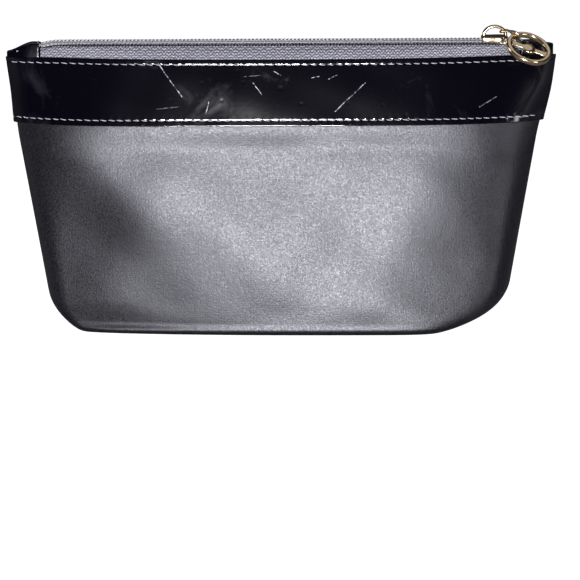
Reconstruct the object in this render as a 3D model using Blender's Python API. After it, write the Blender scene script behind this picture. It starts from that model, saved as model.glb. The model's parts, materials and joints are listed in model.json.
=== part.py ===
"""A flat zipped makeup bag: satin body, patent band round the mouth, coil zip and ring pull.

Metres, +Z up. The bag stands on its base at z = 0. X runs along the zip, the front faces -Y.
Every cloth layer is cut from one family of lens-shaped sections: a point of a layer has a
place u across the bag (-1 to 1), a height z, and an inset measured inwards from the satin.
"""

import math

import bmesh
import bpy
from mathutils import Matrix, Vector

MM = 0.001
GAP = 0.3 * MM

# Outline of the satin body
BASE_HALF_WIDTH = 74 * MM
SIDE_HALF_WIDTH = 92.8 * MM
SIDE_FLARE = 0.167
CORNER_HEIGHT = 20 * MM
CORNER_POWER = 2.15
BASE_HALF_DEPTH = 19 * MM
BELLY_HALF_DEPTH = 25 * MM
BELLY_HEIGHT = 5 * MM
BELLY_POWER = 2.5
MOUTH_HALF_DEPTH = 6.4 * MM
DEPTH_POWER = 1.25
SQUARENESS_LOW = (10.0, 2.0)
SQUARENESS_HIGH = (4.0, 1.0)

# Heights
BAND_BOTTOM = 85.2 * MM
PANEL_TOP = 91.4 * MM
FACING_BOTTOM = 92.1 * MM
LINING_TOP = 88.2 * MM
TAPE_BOTTOM = 109.1 * MM
FACING_TOP = 108.7 * MM
BAND_TOP = 112.3 * MM
UPPER_STITCH_DROP = 2.2 * MM
LOWER_STITCH_RISE = 2.4 * MM

# Cloth layers: (inset of the outer face, thickness)
BAND_LAYER = (-1.0 * MM, 0.7 * MM)
SATIN_LAYER = (0.0, 0.6 * MM)
INTERLINING_LAYER = (0.9 * MM, 1.0 * MM)
LINING_LAYER = (2.2 * MM, 0.45 * MM)
FACING_LAYER = (0.8 * MM, 0.5 * MM)
COLUMNS = 20
BODY_ROWS = [z * MM for z in (72, 58, 44, 30, 18, 10, 5, 2.5, 1)]
BAND_ROWS = [104 * MM, 97 * MM]

# Zip
COIL_END = 98 * MM
COIL_CENTRE_Y = 1.6 * MM
COIL_HALF_WIDTH = 1.4 * MM
COIL_Z = 117.85 * MM
COIL_HALF_HEIGHT = 0.75 * MM
TAPE_END = 107.5 * MM
TAPE_Z = 116.7 * MM
TAPE_THICKNESS = 0.45 * MM
TAPE_INNER_Y = 0.7 * MM
TAPE_SHOULDER_Y = 4.4 * MM
COIL_SPREAD = 1.1 * MM

# Slider
SLIDER_X = 87 * MM
SLIDER_LENGTH = 11 * MM
SLIDER_REAR_HALF_WIDTH = 4.3 * MM
SLIDER_FRONT_HALF_WIDTH = 5.0 * MM
PLATE = 0.8 * MM
BOTTOM_PLATE_Z = 115.3 * MM
TOP_PLATE_Z = 119.0 * MM
FLANGE_DEPTH = 1.1 * MM
FLANGE = 0.7 * MM
BAIL_HALF_SPAN = 4.5 * MM
BAIL_RISE = 3.6 * MM
BAIL_WIRE = 0.55 * MM

# Pull
LINK_ON_BAIL = math.radians(155)
LINK_WIRE = 0.5 * MM
LINK_HALF_WIDTH = 2.4 * MM
LINK_START_TURN = math.radians(-15)
LINK_TWIST = math.radians(-75)
RING_CENTRE = Vector((100.2, -10.8, 116.1)) * MM
RING_NORMAL = Vector((0.27, -0.50, 0.83)).normalized()
RING_RADIUS = 8.4 * MM
RING_RADIAL = 0.9 * MM
RING_AXIAL = 1.1 * MM
RING_CONTACT_ANGLE = math.radians(140)
BAR_HALF_WIDTH = 1.1 * MM
BAR_HALF_THICKNESS = 0.6 * MM
BOSS_RADIUS = 2.4 * MM

# End tabs
TAB_X = (98.6 * MM, 105.3 * MM)
TAB_Z = (114.0 * MM, 118.2 * MM)
TAB_HALF_WIDTH = 3.5 * MM
TAB_THICKNESS = 0.6 * MM
THREAD = 0.22 * MM


def clear_scene():
    """Remove every object that is already in the scene."""
    for old in list(bpy.data.objects):
        bpy.data.objects.remove(old, do_unlink=True)


def material(name, colour, roughness, metallic=0.0):
    """A Principled BSDF material of one colour."""
    made = bpy.data.materials.new(name)
    made.use_nodes = True
    shader = made.node_tree.nodes["Principled BSDF"]
    shader.inputs["Base Color"].default_value = (*colour, 1.0)
    shader.inputs["Roughness"].default_value = roughness
    shader.inputs["Metallic"].default_value = metallic
    return made


def mesh_object(name, vertices, faces, finish, smooth=True):
    """An object from vertices and faces, with coincident points merged and faces turned out."""
    mesh = bpy.data.meshes.new(name)
    mesh.from_pydata([tuple(v) for v in vertices], [], faces)
    shape = bmesh.new()
    shape.from_mesh(mesh)
    bmesh.ops.remove_doubles(shape, verts=shape.verts, dist=0.00001)
    bmesh.ops.dissolve_degenerate(shape, edges=shape.edges, dist=0.000005)
    bmesh.ops.recalc_face_normals(shape, faces=shape.faces)
    shape.to_mesh(mesh)
    shape.free()
    if smooth:
        mesh.shade_smooth()
        mesh.set_sharp_from_angle(angle=math.radians(40))
    mesh.materials.append(finish)
    made = bpy.data.objects.new(name, mesh)
    bpy.context.collection.objects.link(made)
    return made


def half_width(z):
    """Half the satin body's width at a height."""
    corner = max(0.0, 1.0 - z / CORNER_HEIGHT) ** CORNER_POWER
    return SIDE_HALF_WIDTH + SIDE_FLARE * z - (SIDE_HALF_WIDTH - BASE_HALF_WIDTH) * corner


def half_depth(z):
    """Half the satin body's depth at a height."""
    if z < BELLY_HEIGHT:
        tuck = (1 - z / BELLY_HEIGHT) ** BELLY_POWER
        return BELLY_HALF_DEPTH - (BELLY_HALF_DEPTH - BASE_HALF_DEPTH) * tuck
    rise = (z - BELLY_HEIGHT) / (BAND_TOP - BELLY_HEIGHT)
    return MOUTH_HALF_DEPTH + (BELLY_HALF_DEPTH - MOUTH_HALF_DEPTH) * (1 - rise**DEPTH_POWER)


def lens(u, z):
    """How full the section is at u: 1 in the middle, 0 at the side seams."""
    rise = z / BAND_TOP
    power = SQUARENESS_LOW[0] + (SQUARENESS_HIGH[0] - SQUARENESS_LOW[0]) * rise
    root = SQUARENESS_LOW[1] + (SQUARENESS_HIGH[1] - SQUARENESS_LOW[1]) * rise
    return max(0.0, 1.0 - abs(u) ** power) ** (1.0 / root)


def skin(u, z, inset, side):
    """A point of the cloth at u and z, moved in by inset; side is -1 in front and 1 behind."""
    x = u * (half_width(z) - inset)
    y = GAP / 2 + (half_depth(z) - inset - GAP / 2) * lens(u, z)
    lift = inset * max(0.0, 1.0 - z / CORNER_HEIGHT)
    return Vector((x, side * y, z + lift))


def columns(count=COLUMNS):
    """Places across the bag, closer together towards the side seams."""
    return [math.sin(math.pi / 2 * (2 * i / count - 1)) for i in range(count + 1)]


def shell(name, outer, inner, finish):
    """A closed cloth shell between two grids of points with the same rows and columns.

    Every cell is cut along the same diagonal, so the facets of nested layers never cross.
    """
    rows = len(outer)
    width = len(outer[0])
    vertices = [point for grid in (outer, inner) for row in grid for point in row]
    faces = []
    for r in range(rows - 1):
        for c in range(width - 1):
            a = r * width + c
            for corner in ((a, a + 1, a + width + 1), (a, a + width + 1, a + width)):
                faces.append(corner)
                faces.append(tuple(i + rows * width for i in reversed(corner)))
    edge = [(0, c) for c in range(width)]
    edge += [(r, width - 1) for r in range(1, rows)]
    edge += [(rows - 1, c) for c in range(width - 2, -1, -1)]
    edge += [(r, 0) for r in range(rows - 2, 0, -1)]
    border = [r * width + c for r, c in edge]
    for here, there in zip(border, border[1:] + border[:1]):
        faces.append((here, here + rows * width, there + rows * width, there))
    return mesh_object(name, vertices, faces, finish)


def cloth(name, side, layer, heights, finish, to_base=False):
    """One layer of cloth on one side of the bag, down through the given heights."""
    grids = []
    for inset in (layer[0], layer[0] + layer[1]):
        grid = [[skin(u, z, inset, side) for u in columns()] for z in heights]
        if to_base:
            grid.append([Vector((p.x, side * GAP / 2, p.z)) for p in grid[-1]])
        grids.append(grid)
    return shell(name, grids[0], grids[1], finish)


def tube(name, path, across, up, finish, sides=8, closed=False, normal=None):
    """A bar swept along a path; across and up are its two half sizes."""
    count = len(path)
    vertices = []
    for i, point in enumerate(path):
        before = path[i - 1] if closed or i else path[0]
        after = path[(i + 1) % count] if closed or i < count - 1 else path[-1]
        along = (after - before).normalized()
        upward = (normal or Vector((0, 0, 1))).copy()
        upward = (upward - along * upward.dot(along)).normalized()
        sideways = along.cross(upward)
        for s in range(sides):
            turn = 2 * math.pi * (s + 0.5) / sides
            vertices.append(point + sideways * across * math.cos(turn) + upward * up * math.sin(turn))
    faces = []
    for i in range(count if closed else count - 1):
        for s in range(sides):
            a = i * sides + s
            b = i * sides + (s + 1) % sides
            c = ((i + 1) % count) * sides + (s + 1) % sides
            d = ((i + 1) % count) * sides + s
            faces.append((a, b, c, d))
    if not closed:
        faces.append(tuple(range(sides)))
        faces.append(tuple(range((count - 1) * sides, count * sides)))
    return mesh_object(name, vertices, faces, finish)


def prism(name, outline, low, high, finish):
    """A flat outline in X and Y, raised from one height to another."""
    count = len(outline)
    vertices = [Vector((x, y, low)) for x, y in outline]
    vertices += [Vector((x, y, high)) for x, y in outline]
    faces = [tuple(range(count)), tuple(range(count, 2 * count))]
    for i in range(count):
        j = (i + 1) % count
        faces.append((i, j, j + count, i + count))
    return mesh_object(name, vertices, faces, finish, smooth=False)


def combine(base, helper, operation):
    """Apply one Boolean to the base and hide its helper."""
    change = base.modifiers.new(helper.name, "BOOLEAN")
    change.operation = operation
    change.solver = "EXACT"
    change.object = helper
    helper.hide_render = True
    helper.display_type = "WIRE"


def make_bag(side, label, satin, patent, lining, fleece, thread):
    """All the sewn layers on one side of the bag."""
    body_rows = [PANEL_TOP, BAND_BOTTOM] + BODY_ROWS + [0.0]
    inner_rows = [LINING_TOP] + body_rows[1:]
    stitch_rows = {"upper": BAND_TOP - UPPER_STITCH_DROP, "lower": BAND_BOTTOM + LOWER_STITCH_RISE}
    band_rows = [BAND_TOP, stitch_rows["upper"]] + BAND_ROWS + [PANEL_TOP]
    band_rows += [stitch_rows["lower"], BAND_BOTTOM]
    facing_rows = [FACING_TOP] + BAND_ROWS + [FACING_BOTTOM]
    cloth(label + "_panel", side, SATIN_LAYER, body_rows, satin, to_base=True)
    cloth(label + "_interlining", side, INTERLINING_LAYER, inner_rows, fleece, to_base=True)
    cloth(label + "_lining", side, LINING_LAYER, inner_rows, lining, to_base=True)
    cloth(label + "_facing", side, FACING_LAYER, facing_rows, lining)
    cloth(label + "_band", side, BAND_LAYER, band_rows, patent)
    for row, height in stitch_rows.items():
        inset = BAND_LAYER[0] - THREAD - 0.25 * MM
        path = [skin(u, height, inset, side) for u in columns()[2:-2]]
        tube(f"{label}_band_{row}_stitching", path, THREAD, THREAD, thread, sides=6)


def spread(x):
    """How far each half of the chain stands off the middle at a place along the zip."""
    rear = SLIDER_X - SLIDER_LENGTH / 2
    front = SLIDER_X + SLIDER_LENGTH / 2 - 3 * MM
    if x < rear:
        return 0.0
    if x < front:
        return COIL_SPREAD * (x - rear) / (front - rear)
    return COIL_SPREAD * max(0.2, 1 - (x - front) / (TAB_X[0] - front))


def make_zip(side, label, tape_finish, coil_finish):
    """One half of the zip: its woven tape and the coil sewn on the tape's edge."""
    stations = [-COIL_END + 2 * COIL_END * i / 24 for i in range(25)]
    stations += [SLIDER_X - SLIDER_LENGTH / 2, SLIDER_X + SLIDER_LENGTH / 2 - 3 * MM]
    stations = sorted(stations)
    path = [Vector((x, side * (COIL_CENTRE_Y + spread(x)), COIL_Z)) for x in stations]
    tube(label + "_zip_coil", path, COIL_HALF_WIDTH, COIL_HALF_HEIGHT, coil_finish)

    outer = []
    inner = []
    for x in [-TAPE_END, -TAB_X[1], -TAB_X[0]] + stations[1:-1] + [TAB_X[0], TAB_X[1], TAPE_END]:
        rim = skin(x / half_width(BAND_TOP), BAND_TOP, 0.0, 1).y
        low = skin(x / half_width(TAPE_BOTTOM), TAPE_BOTTOM, 0.0, 1).y
        opened = spread(x) if x < TAB_X[0] else 0.0
        shoulder = min(TAPE_SHOULDER_Y, max(2.7 * MM, rim - 0.5 * MM)) + opened
        profile = [
            (max(low, 0.75 * MM), TAPE_BOTTOM),
            (max(rim, 0.75 * MM), BAND_TOP),
            (shoulder, TAPE_Z - 0.8 * MM),
            (shoulder - 0.4 * MM, TAPE_Z),
            (TAPE_INNER_Y + min(opened, 1.2 * MM), TAPE_Z),
        ]
        shifts = [(-1, 0), (-1, 0), (-0.9, -0.5), (-0.3, -1), (0, -1)]
        outer.append([Vector((x, side * y, z)) for y, z in profile])
        inner.append(
            [
                Vector((x, side * (y + dy * TAPE_THICKNESS), z + dz * TAPE_THICKNESS))
                for (y, z), (dy, dz) in zip(profile, shifts)
            ]
        )
    shell(label + "_zip_tape", outer, inner, tape_finish)


def make_tab(hand, label, patent, thread):
    """A short patent tab folded over the end of the zip, with its line of thread."""
    ends = sorted((hand * TAB_X[0], hand * TAB_X[1]))
    wall = TAB_HALF_WIDTH - TAB_THICKNESS
    roof = TAB_Z[1] - TAB_THICKNESS
    section = [
        (-TAB_HALF_WIDTH, TAB_Z[0]),
        (-TAB_HALF_WIDTH, TAB_Z[1] - 0.8 * MM),
        (-TAB_HALF_WIDTH + 0.8 * MM, TAB_Z[1]),
        (TAB_HALF_WIDTH - 0.8 * MM, TAB_Z[1]),
        (TAB_HALF_WIDTH, TAB_Z[1] - 0.8 * MM),
        (TAB_HALF_WIDTH, TAB_Z[0]),
        (wall, TAB_Z[0]),
        (wall, roof - 0.4 * MM),
        (wall - 0.4 * MM, roof),
        (-wall + 0.4 * MM, roof),
        (-wall, roof - 0.4 * MM),
        (-wall, TAB_Z[0]),
    ]
    count = len(section)
    vertices = [Vector((x, y, z)) for x in ends for y, z in section]
    caps = [(0, 1, 10, 11), (1, 2, 9, 10), (2, 3, 8, 9), (3, 4, 7, 8), (4, 5, 6, 7)]
    faces = caps + [tuple(i + count for i in cap) for cap in caps]
    faces += [(i, (i + 1) % count, (i + 1) % count + count, i + count) for i in range(count)]
    mesh_object(label + "_end_tab", vertices, faces, patent, smooth=False)

    x = hand * (TAB_X[0] + 1.0 * MM)
    off = THREAD + 0.12 * MM
    path = [
        Vector((x, -TAB_HALF_WIDTH - off, TAB_Z[0] + 0.4 * MM)),
        Vector((x, -TAB_HALF_WIDTH - off, TAB_Z[1] - 0.7 * MM)),
        Vector((x, -TAB_HALF_WIDTH + 0.8 * MM - off / 2, TAB_Z[1] + off)),
        Vector((x, TAB_HALF_WIDTH - 0.8 * MM + off / 2, TAB_Z[1] + off)),
        Vector((x, TAB_HALF_WIDTH + off, TAB_Z[1] - 0.7 * MM)),
        Vector((x, TAB_HALF_WIDTH + off, TAB_Z[0] + 0.4 * MM)),
    ]
    tube(label + "_tab_stitching", path, THREAD, THREAD, thread, sides=6, normal=Vector((1, 0, 0)))


def slider_outline(grow=0.0):
    """The slider's plan: narrow where the closed chain leaves, wide at the nose, corners cut."""
    rear = SLIDER_X - SLIDER_LENGTH / 2
    nose = SLIDER_X + SLIDER_LENGTH / 2
    cut = 1.6 * MM
    half = [
        (rear, SLIDER_REAR_HALF_WIDTH - 0.6 * MM + grow),
        (rear + 0.6 * MM, SLIDER_REAR_HALF_WIDTH + grow),
        (nose - cut - 1.5 * MM, SLIDER_FRONT_HALF_WIDTH + grow),
        (nose - cut + 0.4 * MM, SLIDER_FRONT_HALF_WIDTH - 0.4 * MM + grow),
        (nose, SLIDER_FRONT_HALF_WIDTH - 2.4 * MM + grow),
    ]
    return half + [(x, -y) for x, y in reversed(half)]


def make_slider(gold):
    """The slider body: two plates joined by a diamond post, with flanges under the top plate."""
    body = prism("slider_body", slider_outline(), TOP_PLATE_Z, TOP_PLATE_Z + PLATE, gold)
    bottom_top = BOTTOM_PLATE_Z + PLATE
    bottom = prism("slider_bottom_plate", slider_outline(-1.1 * MM), BOTTOM_PLATE_Z, bottom_top, gold)
    post_x = SLIDER_X + SLIDER_LENGTH / 2 - 2.9 * MM
    diamond = [
        (post_x - 2.0 * MM, 0.0),
        (post_x, 0.5 * MM),
        (post_x + 2.4 * MM, 0.6 * MM),
        (post_x + 2.4 * MM, -0.6 * MM),
        (post_x, -0.5 * MM),
    ]
    post = prism("slider_post", diamond, BOTTOM_PLATE_Z + PLATE / 2, TOP_PLATE_Z + PLATE / 2, gold)
    combine(body, bottom, "UNION")
    combine(body, post, "UNION")
    half = slider_outline()[:4]
    for side in (-1, 1):
        strip = [(x, side * y) for x, y in half]
        strip += [(x, side * (y - FLANGE)) for x, y in reversed(half)]
        low = TOP_PLATE_Z - FLANGE_DEPTH
        flange = prism(f"slider_flange_{side}", strip, low, TOP_PLATE_Z + PLATE / 2, gold)
        combine(body, flange, "UNION")
    return body


def bail_point(turn):
    """A point of the bail: half an ellipse standing on the slider's top plate."""
    foot = TOP_PLATE_Z + PLATE + GAP
    return Vector((SLIDER_X - BAIL_HALF_SPAN * math.cos(turn), 0, foot + BAIL_RISE * math.sin(turn)))


def ring_axes():
    """Two directions in the ring's plane: down to the right, and up to the back."""
    towards_viewer = Vector((0, -0.985, 0.174))
    major = RING_NORMAL.cross(towards_viewer).normalized()
    return major, RING_NORMAL.cross(major)


def ring_point(turn, radius=RING_RADIUS):
    """A point of the ring's circle."""
    major, minor = ring_axes()
    return RING_CENTRE + radius * (math.cos(turn) * major + math.sin(turn) * minor)


def make_link(gold):
    """The long oval link between bail and ring, twisted so that it lies across both wires."""
    pivot = bail_point(LINK_ON_BAIL)
    contact = ring_point(RING_CONTACT_ANGLE)
    along = (contact - pivot).normalized()
    wire_direction = bail_point(LINK_ON_BAIL + 0.05) - bail_point(LINK_ON_BAIL - 0.05)
    level = along.cross(wire_direction).normalized()
    upright = along.cross(level)
    near = pivot - along * (BAIL_WIRE + LINK_WIRE + GAP)
    length = (contact - near).length + RING_AXIAL + LINK_WIRE + 0.1 * MM
    outline = []
    for i in range(9):
        turn = math.pi * i / 8
        outline.append((LINK_HALF_WIDTH * (1 - math.sin(turn)), math.cos(turn)))
    for i in range(9):
        turn = math.pi * i / 8
        outline.append((length - LINK_HALF_WIDTH * (1 - math.sin(turn)), -math.cos(turn)))
    path = []
    for distance, reach in outline:
        turn = LINK_START_TURN + LINK_TWIST * distance / length
        across = level * math.cos(turn) + upright * math.sin(turn)
        path.append(near + along * distance + across * reach * LINK_HALF_WIDTH)
    return tube("pull_link", path, LINK_WIRE, LINK_WIRE, gold, closed=True, normal=upright)


def make_ring(gold):
    """The ring pull, with a plain bar and a round boss across it."""
    major, minor = ring_axes()
    path = [ring_point(2 * math.pi * i / 28) for i in range(28)]
    ring = tube("pull_ring", path, RING_RADIAL, RING_AXIAL, gold, closed=True, normal=RING_NORMAL)
    frame = Matrix((major, minor, RING_NORMAL)).transposed().to_4x4()
    frame.translation = RING_CENTRE
    ends = ((-1, -1), (1, -1), (1, 1), (-1, 1))
    bar_outline = [(x * RING_RADIUS, y * BAR_HALF_WIDTH) for x, y in ends]
    turns = [2 * math.pi * i / 14 for i in range(14)]
    boss_outline = [(BOSS_RADIUS * math.cos(t), BOSS_RADIUS * math.sin(t)) for t in turns]
    pieces = (
        ("pull_bar", bar_outline, BAR_HALF_THICKNESS),
        ("pull_boss", boss_outline, BAR_HALF_THICKNESS + 0.25 * MM),
    )
    for name, outline, thickness in pieces:
        piece = prism(name, outline, -thickness, thickness, gold)
        piece.data.transform(frame)
        combine(ring, piece, "UNION")
    return ring


def put_under_pivot(name, place, *pieces):
    """Parent pieces to an empty that stands on their joint's axis."""
    pivot = bpy.data.objects.new(name, None)
    pivot.location = place
    bpy.context.collection.objects.link(pivot)
    for piece in pieces:
        piece.parent = pivot
        piece.matrix_parent_inverse = Matrix.Translation(place).inverted()


def main():
    """Build the whole bag."""
    clear_scene()
    satin = material("charcoal_satin", (0.035, 0.034, 0.042), 0.55)
    patent = material("black_patent", (0.006, 0.005, 0.009), 0.12)
    lining = material("black_lining", (0.02, 0.02, 0.023), 0.7)
    fleece = material("grey_fleece", (0.35, 0.35, 0.35), 0.95)
    thread = material("grey_thread", (0.16, 0.16, 0.18), 0.6)
    tape = material("grey_tape", (0.06, 0.06, 0.07), 0.8)
    nylon = material("black_nylon", (0.03, 0.03, 0.035), 0.4)
    gold = material("light_gold", (0.78, 0.56, 0.30), 0.22, 1.0)

    for side, label in ((-1, "front"), (1, "back")):
        make_bag(side, label, satin, patent, lining, fleece, thread)
        make_zip(side, label, tape, nylon)
    for hand, label in ((-1, "left"), (1, "right")):
        make_tab(hand, label, patent, thread)
    body = make_slider(gold)
    bail_path = [bail_point(math.pi * i / 12) for i in range(13)]
    bail = tube("slider_bail", bail_path, BAIL_WIRE * 1.3, BAIL_WIRE, gold)
    link = make_link(gold)
    ring = make_ring(gold)
    put_under_pivot("slider_axis", Vector((SLIDER_X, 0, COIL_Z)), body, bail)
    put_under_pivot("link_axis", bail_point(LINK_ON_BAIL), link)
    put_under_pivot("ring_axis", ring_point(RING_CONTACT_ANGLE), ring)
    bpy.context.view_layer.update()


main()
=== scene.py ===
"""Looks of the makeup bag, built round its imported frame. Metres, +Z up, front faces -Y."""

import json
import math

import bmesh
import bpy
import numpy as np
from mathutils import Matrix, Vector

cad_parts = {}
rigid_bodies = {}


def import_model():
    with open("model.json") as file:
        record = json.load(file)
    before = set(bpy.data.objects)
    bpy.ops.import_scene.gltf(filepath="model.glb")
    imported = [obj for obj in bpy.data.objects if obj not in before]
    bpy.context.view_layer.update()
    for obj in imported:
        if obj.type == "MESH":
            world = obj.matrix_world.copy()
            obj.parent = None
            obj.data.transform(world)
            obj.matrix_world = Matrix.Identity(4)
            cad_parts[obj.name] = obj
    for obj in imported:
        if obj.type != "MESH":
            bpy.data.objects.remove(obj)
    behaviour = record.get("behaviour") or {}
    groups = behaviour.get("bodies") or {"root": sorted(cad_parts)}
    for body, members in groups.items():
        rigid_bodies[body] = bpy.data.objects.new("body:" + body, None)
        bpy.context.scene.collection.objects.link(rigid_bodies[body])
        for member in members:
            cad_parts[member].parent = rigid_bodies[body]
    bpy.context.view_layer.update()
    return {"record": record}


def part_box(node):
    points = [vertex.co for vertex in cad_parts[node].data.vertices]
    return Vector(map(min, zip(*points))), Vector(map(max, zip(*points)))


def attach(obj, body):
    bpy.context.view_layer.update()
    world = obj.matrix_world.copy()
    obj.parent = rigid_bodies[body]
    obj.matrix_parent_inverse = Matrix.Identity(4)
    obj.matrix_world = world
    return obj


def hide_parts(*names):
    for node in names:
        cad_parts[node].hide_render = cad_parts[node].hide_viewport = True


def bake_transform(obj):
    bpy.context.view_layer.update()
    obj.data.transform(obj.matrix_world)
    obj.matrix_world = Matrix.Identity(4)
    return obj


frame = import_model()

MM = 0.001
GAP = 0.3 * MM
SEAM_GAP = 0.01 * MM
FRONT, BACK = -1, 1

# ---------------------------------------------------------------- sizes read from the frame
band_low, band_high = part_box("front_band")
panel_low, panel_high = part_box("front_panel")
tape_low, tape_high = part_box("front_zip_tape")
facing_low, facing_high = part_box("front_facing")
tab_low, tab_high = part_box("right_end_tab")
slider_low, slider_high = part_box("slider_body")
bail_low, bail_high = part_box("slider_bail")
coil_low, coil_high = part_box("front_zip_coil")
BAND_BOTTOM, BAND_TOP = band_low[2], band_high[2]
PANEL_TOP = panel_high[2]
BELLY_HALF_DEPTH = -panel_low[1]
COIL_END = coil_high[0]
COIL_Z = (coil_low[2] + coil_high[2]) / 2
TAPE_BOTTOM, TAPE_Z, TAPE_END = tape_low[2], tape_high[2], tape_high[0]
SLIDER_X = (slider_low[0] + slider_high[0]) / 2
SLIDER_LENGTH = slider_high[0] - slider_low[0]

# Outline of the satin body: the same family of sections as the frame's cloth nodes
SIDE_HALF_WIDTH = 92.8 * MM
SIDE_FLARE = 0.167
CORNER_HEIGHT = 20 * MM
LEFT_CORNER_CUT, LEFT_CORNER_POWER = 7.5 * MM, 4.0
RIGHT_CORNER_CUT, RIGHT_CORNER_POWER = 22 * MM, 2.8
BASE_HALF_DEPTH = 23.6 * MM
BELLY_HEIGHT = 2.5 * MM
BELLY_POWER = 2.5
MOUTH_HALF_DEPTH = 6.4 * MM
DEPTH_POWER = 1.08

# Creases of the soft body, as slopes, and how far the mouth sags in the middle
LEFT_FACET_SLOPE = 0.215
RIGHT_FACET_SLOPE = 0.118
MOUTH_SAG = 0.8 * MM

# Cloth layers: inset of the outer face and thickness
BAND_INSET = -1.0 * MM
BAND_THICKNESS = 0.7 * MM
SATIN_THICKNESS = 0.6 * MM
LINING_INSET = 2.2 * MM
LINING_THICKNESS = 0.45 * MM
FACING_INSET = 0.8 * MM
FACING_THICKNESS = 0.5 * MM
LINING_TOP = facing_low[2] + 1.2 * MM

# Zip
TOOTH_PITCH = 1.55 * MM
COIL_CENTRE_Y = 1.35 * MM
COIL_HALF_WIDTH = 1.55 * MM
COIL_HALF_HEIGHT = 0.55 * MM
COIL_WIRE = 0.31 * MM
COIL_SPREAD = 1.1 * MM
TAPE_THICKNESS = 0.45 * MM
TAPE_SHOULDER_Y = 4.4 * MM

# Thread
STITCH_PITCH = 3.5 * MM
STITCH_LENGTH = 2.75 * MM
THREAD = 0.2 * MM
STITCH_ROWS = {"upper": BAND_TOP - 2.2 * MM, "lower": BAND_BOTTOM + 2.4 * MM}

# The end tabs: how far out each reaches, and how far its top falls towards its outer end
TAB_REACH = {"left": 111.5 * MM, "right": 110.8 * MM}
TAB_FALL = {"left": 3.4 * MM, "right": 1.2 * MM}

# The pull: how the ring faces, where the link holds it, and the link's wire
RING_NORMAL = Vector((0.27, -0.50, 0.83)).normalized()
RING_RADIUS = 8.4 * MM
RING_CONTACT_ANGLE = math.radians(140)
LINK_WIRE = 0.52 * MM
LINK_HALF_WIDTH = 2.4 * MM


# ---------------------------------------------------------------- node helpers
class Nodes:
    """A material's node tree, with short calls to add and link nodes."""

    def __init__(self, name):
        self.material = bpy.data.materials.new(name)
        self.material.use_nodes = True
        self.tree = self.material.node_tree
        self.shader = self.tree.nodes["Principled BSDF"]
        self.place = self.add("ShaderNodeTexCoord").outputs["Object"]

    def add(self, kind, inputs=None, **settings):
        """A node with settings on it and values or links on its inputs."""
        node = self.tree.nodes.new(kind)
        for key, value in settings.items():
            setattr(node, key, value)
        for key, value in (inputs or {}).items():
            self.set(node.inputs[key], value)
        return node

    def set(self, socket, value):
        """Put a link or a plain value on a socket."""
        if isinstance(value, bpy.types.NodeSocket):
            self.tree.links.new(value, socket)
        else:
            socket.default_value = value

    def math(self, operation, a, b=0.0, clamp=False):
        """One maths step."""
        node = self.add("ShaderNodeMath", {0: a, 1: b}, operation=operation, use_clamp=clamp)
        return node.outputs[0]

    def scaled(self, scale, turn=(0, 0, 0)):
        """The place, turned and scaled along each axis."""
        inputs = {"Vector": self.place, "Scale": scale, "Rotation": turn}
        return self.add("ShaderNodeMapping", inputs).outputs[0]

    def noise(self, scale, detail=2.0, roughness=0.5, stretch=(1, 1, 1), turn=(0, 0, 0), distortion=0.0):
        """Soft noise, from about 0 to 1, with features 1/scale metres across."""
        inputs = {
            "Vector": self.scaled(stretch, turn),
            "Scale": scale,
            "Detail": detail,
            "Roughness": roughness,
            "Distortion": distortion,
        }
        return self.add("ShaderNodeTexNoise", inputs).outputs["Fac"]

    def waves(self, scale, axis="X", turn=(0, 0, 0), distortion=0.0):
        """Regular ridges across one axis."""
        inputs = {"Vector": self.scaled((1, 1, 1), turn), "Scale": scale, "Distortion": distortion}
        return self.add("ShaderNodeTexWave", inputs, bands_direction=axis).outputs["Fac"]

    def ramp(self, value, *stops):
        """A value turned into another by straight steps between (position, level) stops."""
        node = self.add("ShaderNodeValToRGB", {"Fac": value})
        elements = node.color_ramp.elements
        while len(elements) < len(stops):
            elements.new(0.5)
        for element, (position, level) in zip(elements, stops):
            element.position = position
            colour = level if isinstance(level, tuple) else (level, level, level)
            element.color = (*colour, 1.0)
        return node.outputs["Color"]

    def mix(self, factor, a, b, blend="MIX"):
        """Two colours mixed."""
        node = self.add("ShaderNodeMix", data_type="RGBA", blend_type=blend)
        for socket, value in ((node.inputs[0], factor), (node.inputs[6], a), (node.inputs[7], b)):
            if isinstance(value, tuple) and len(value) == 3:
                value = (*value, 1.0)
            self.set(socket, value)
        return node.outputs[2]

    def bump(self, height, strength, distance, normal=None):
        """A bump from a height, over an optional earlier one."""
        inputs = {"Height": height, "Strength": strength, "Distance": distance}
        if normal is not None:
            inputs["Normal"] = normal
        return self.add("ShaderNodeBump", inputs).outputs["Normal"]

    def finish(self, **values):
        """Values or links on the shader's sockets, by name with _ for a space."""
        for key, value in values.items():
            name = key.replace("_", " ")
            if isinstance(value, tuple) and len(value) == 3:
                value = (*value, 1.0)
            self.set(self.shader.inputs[name], value)
        return self.material


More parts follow.
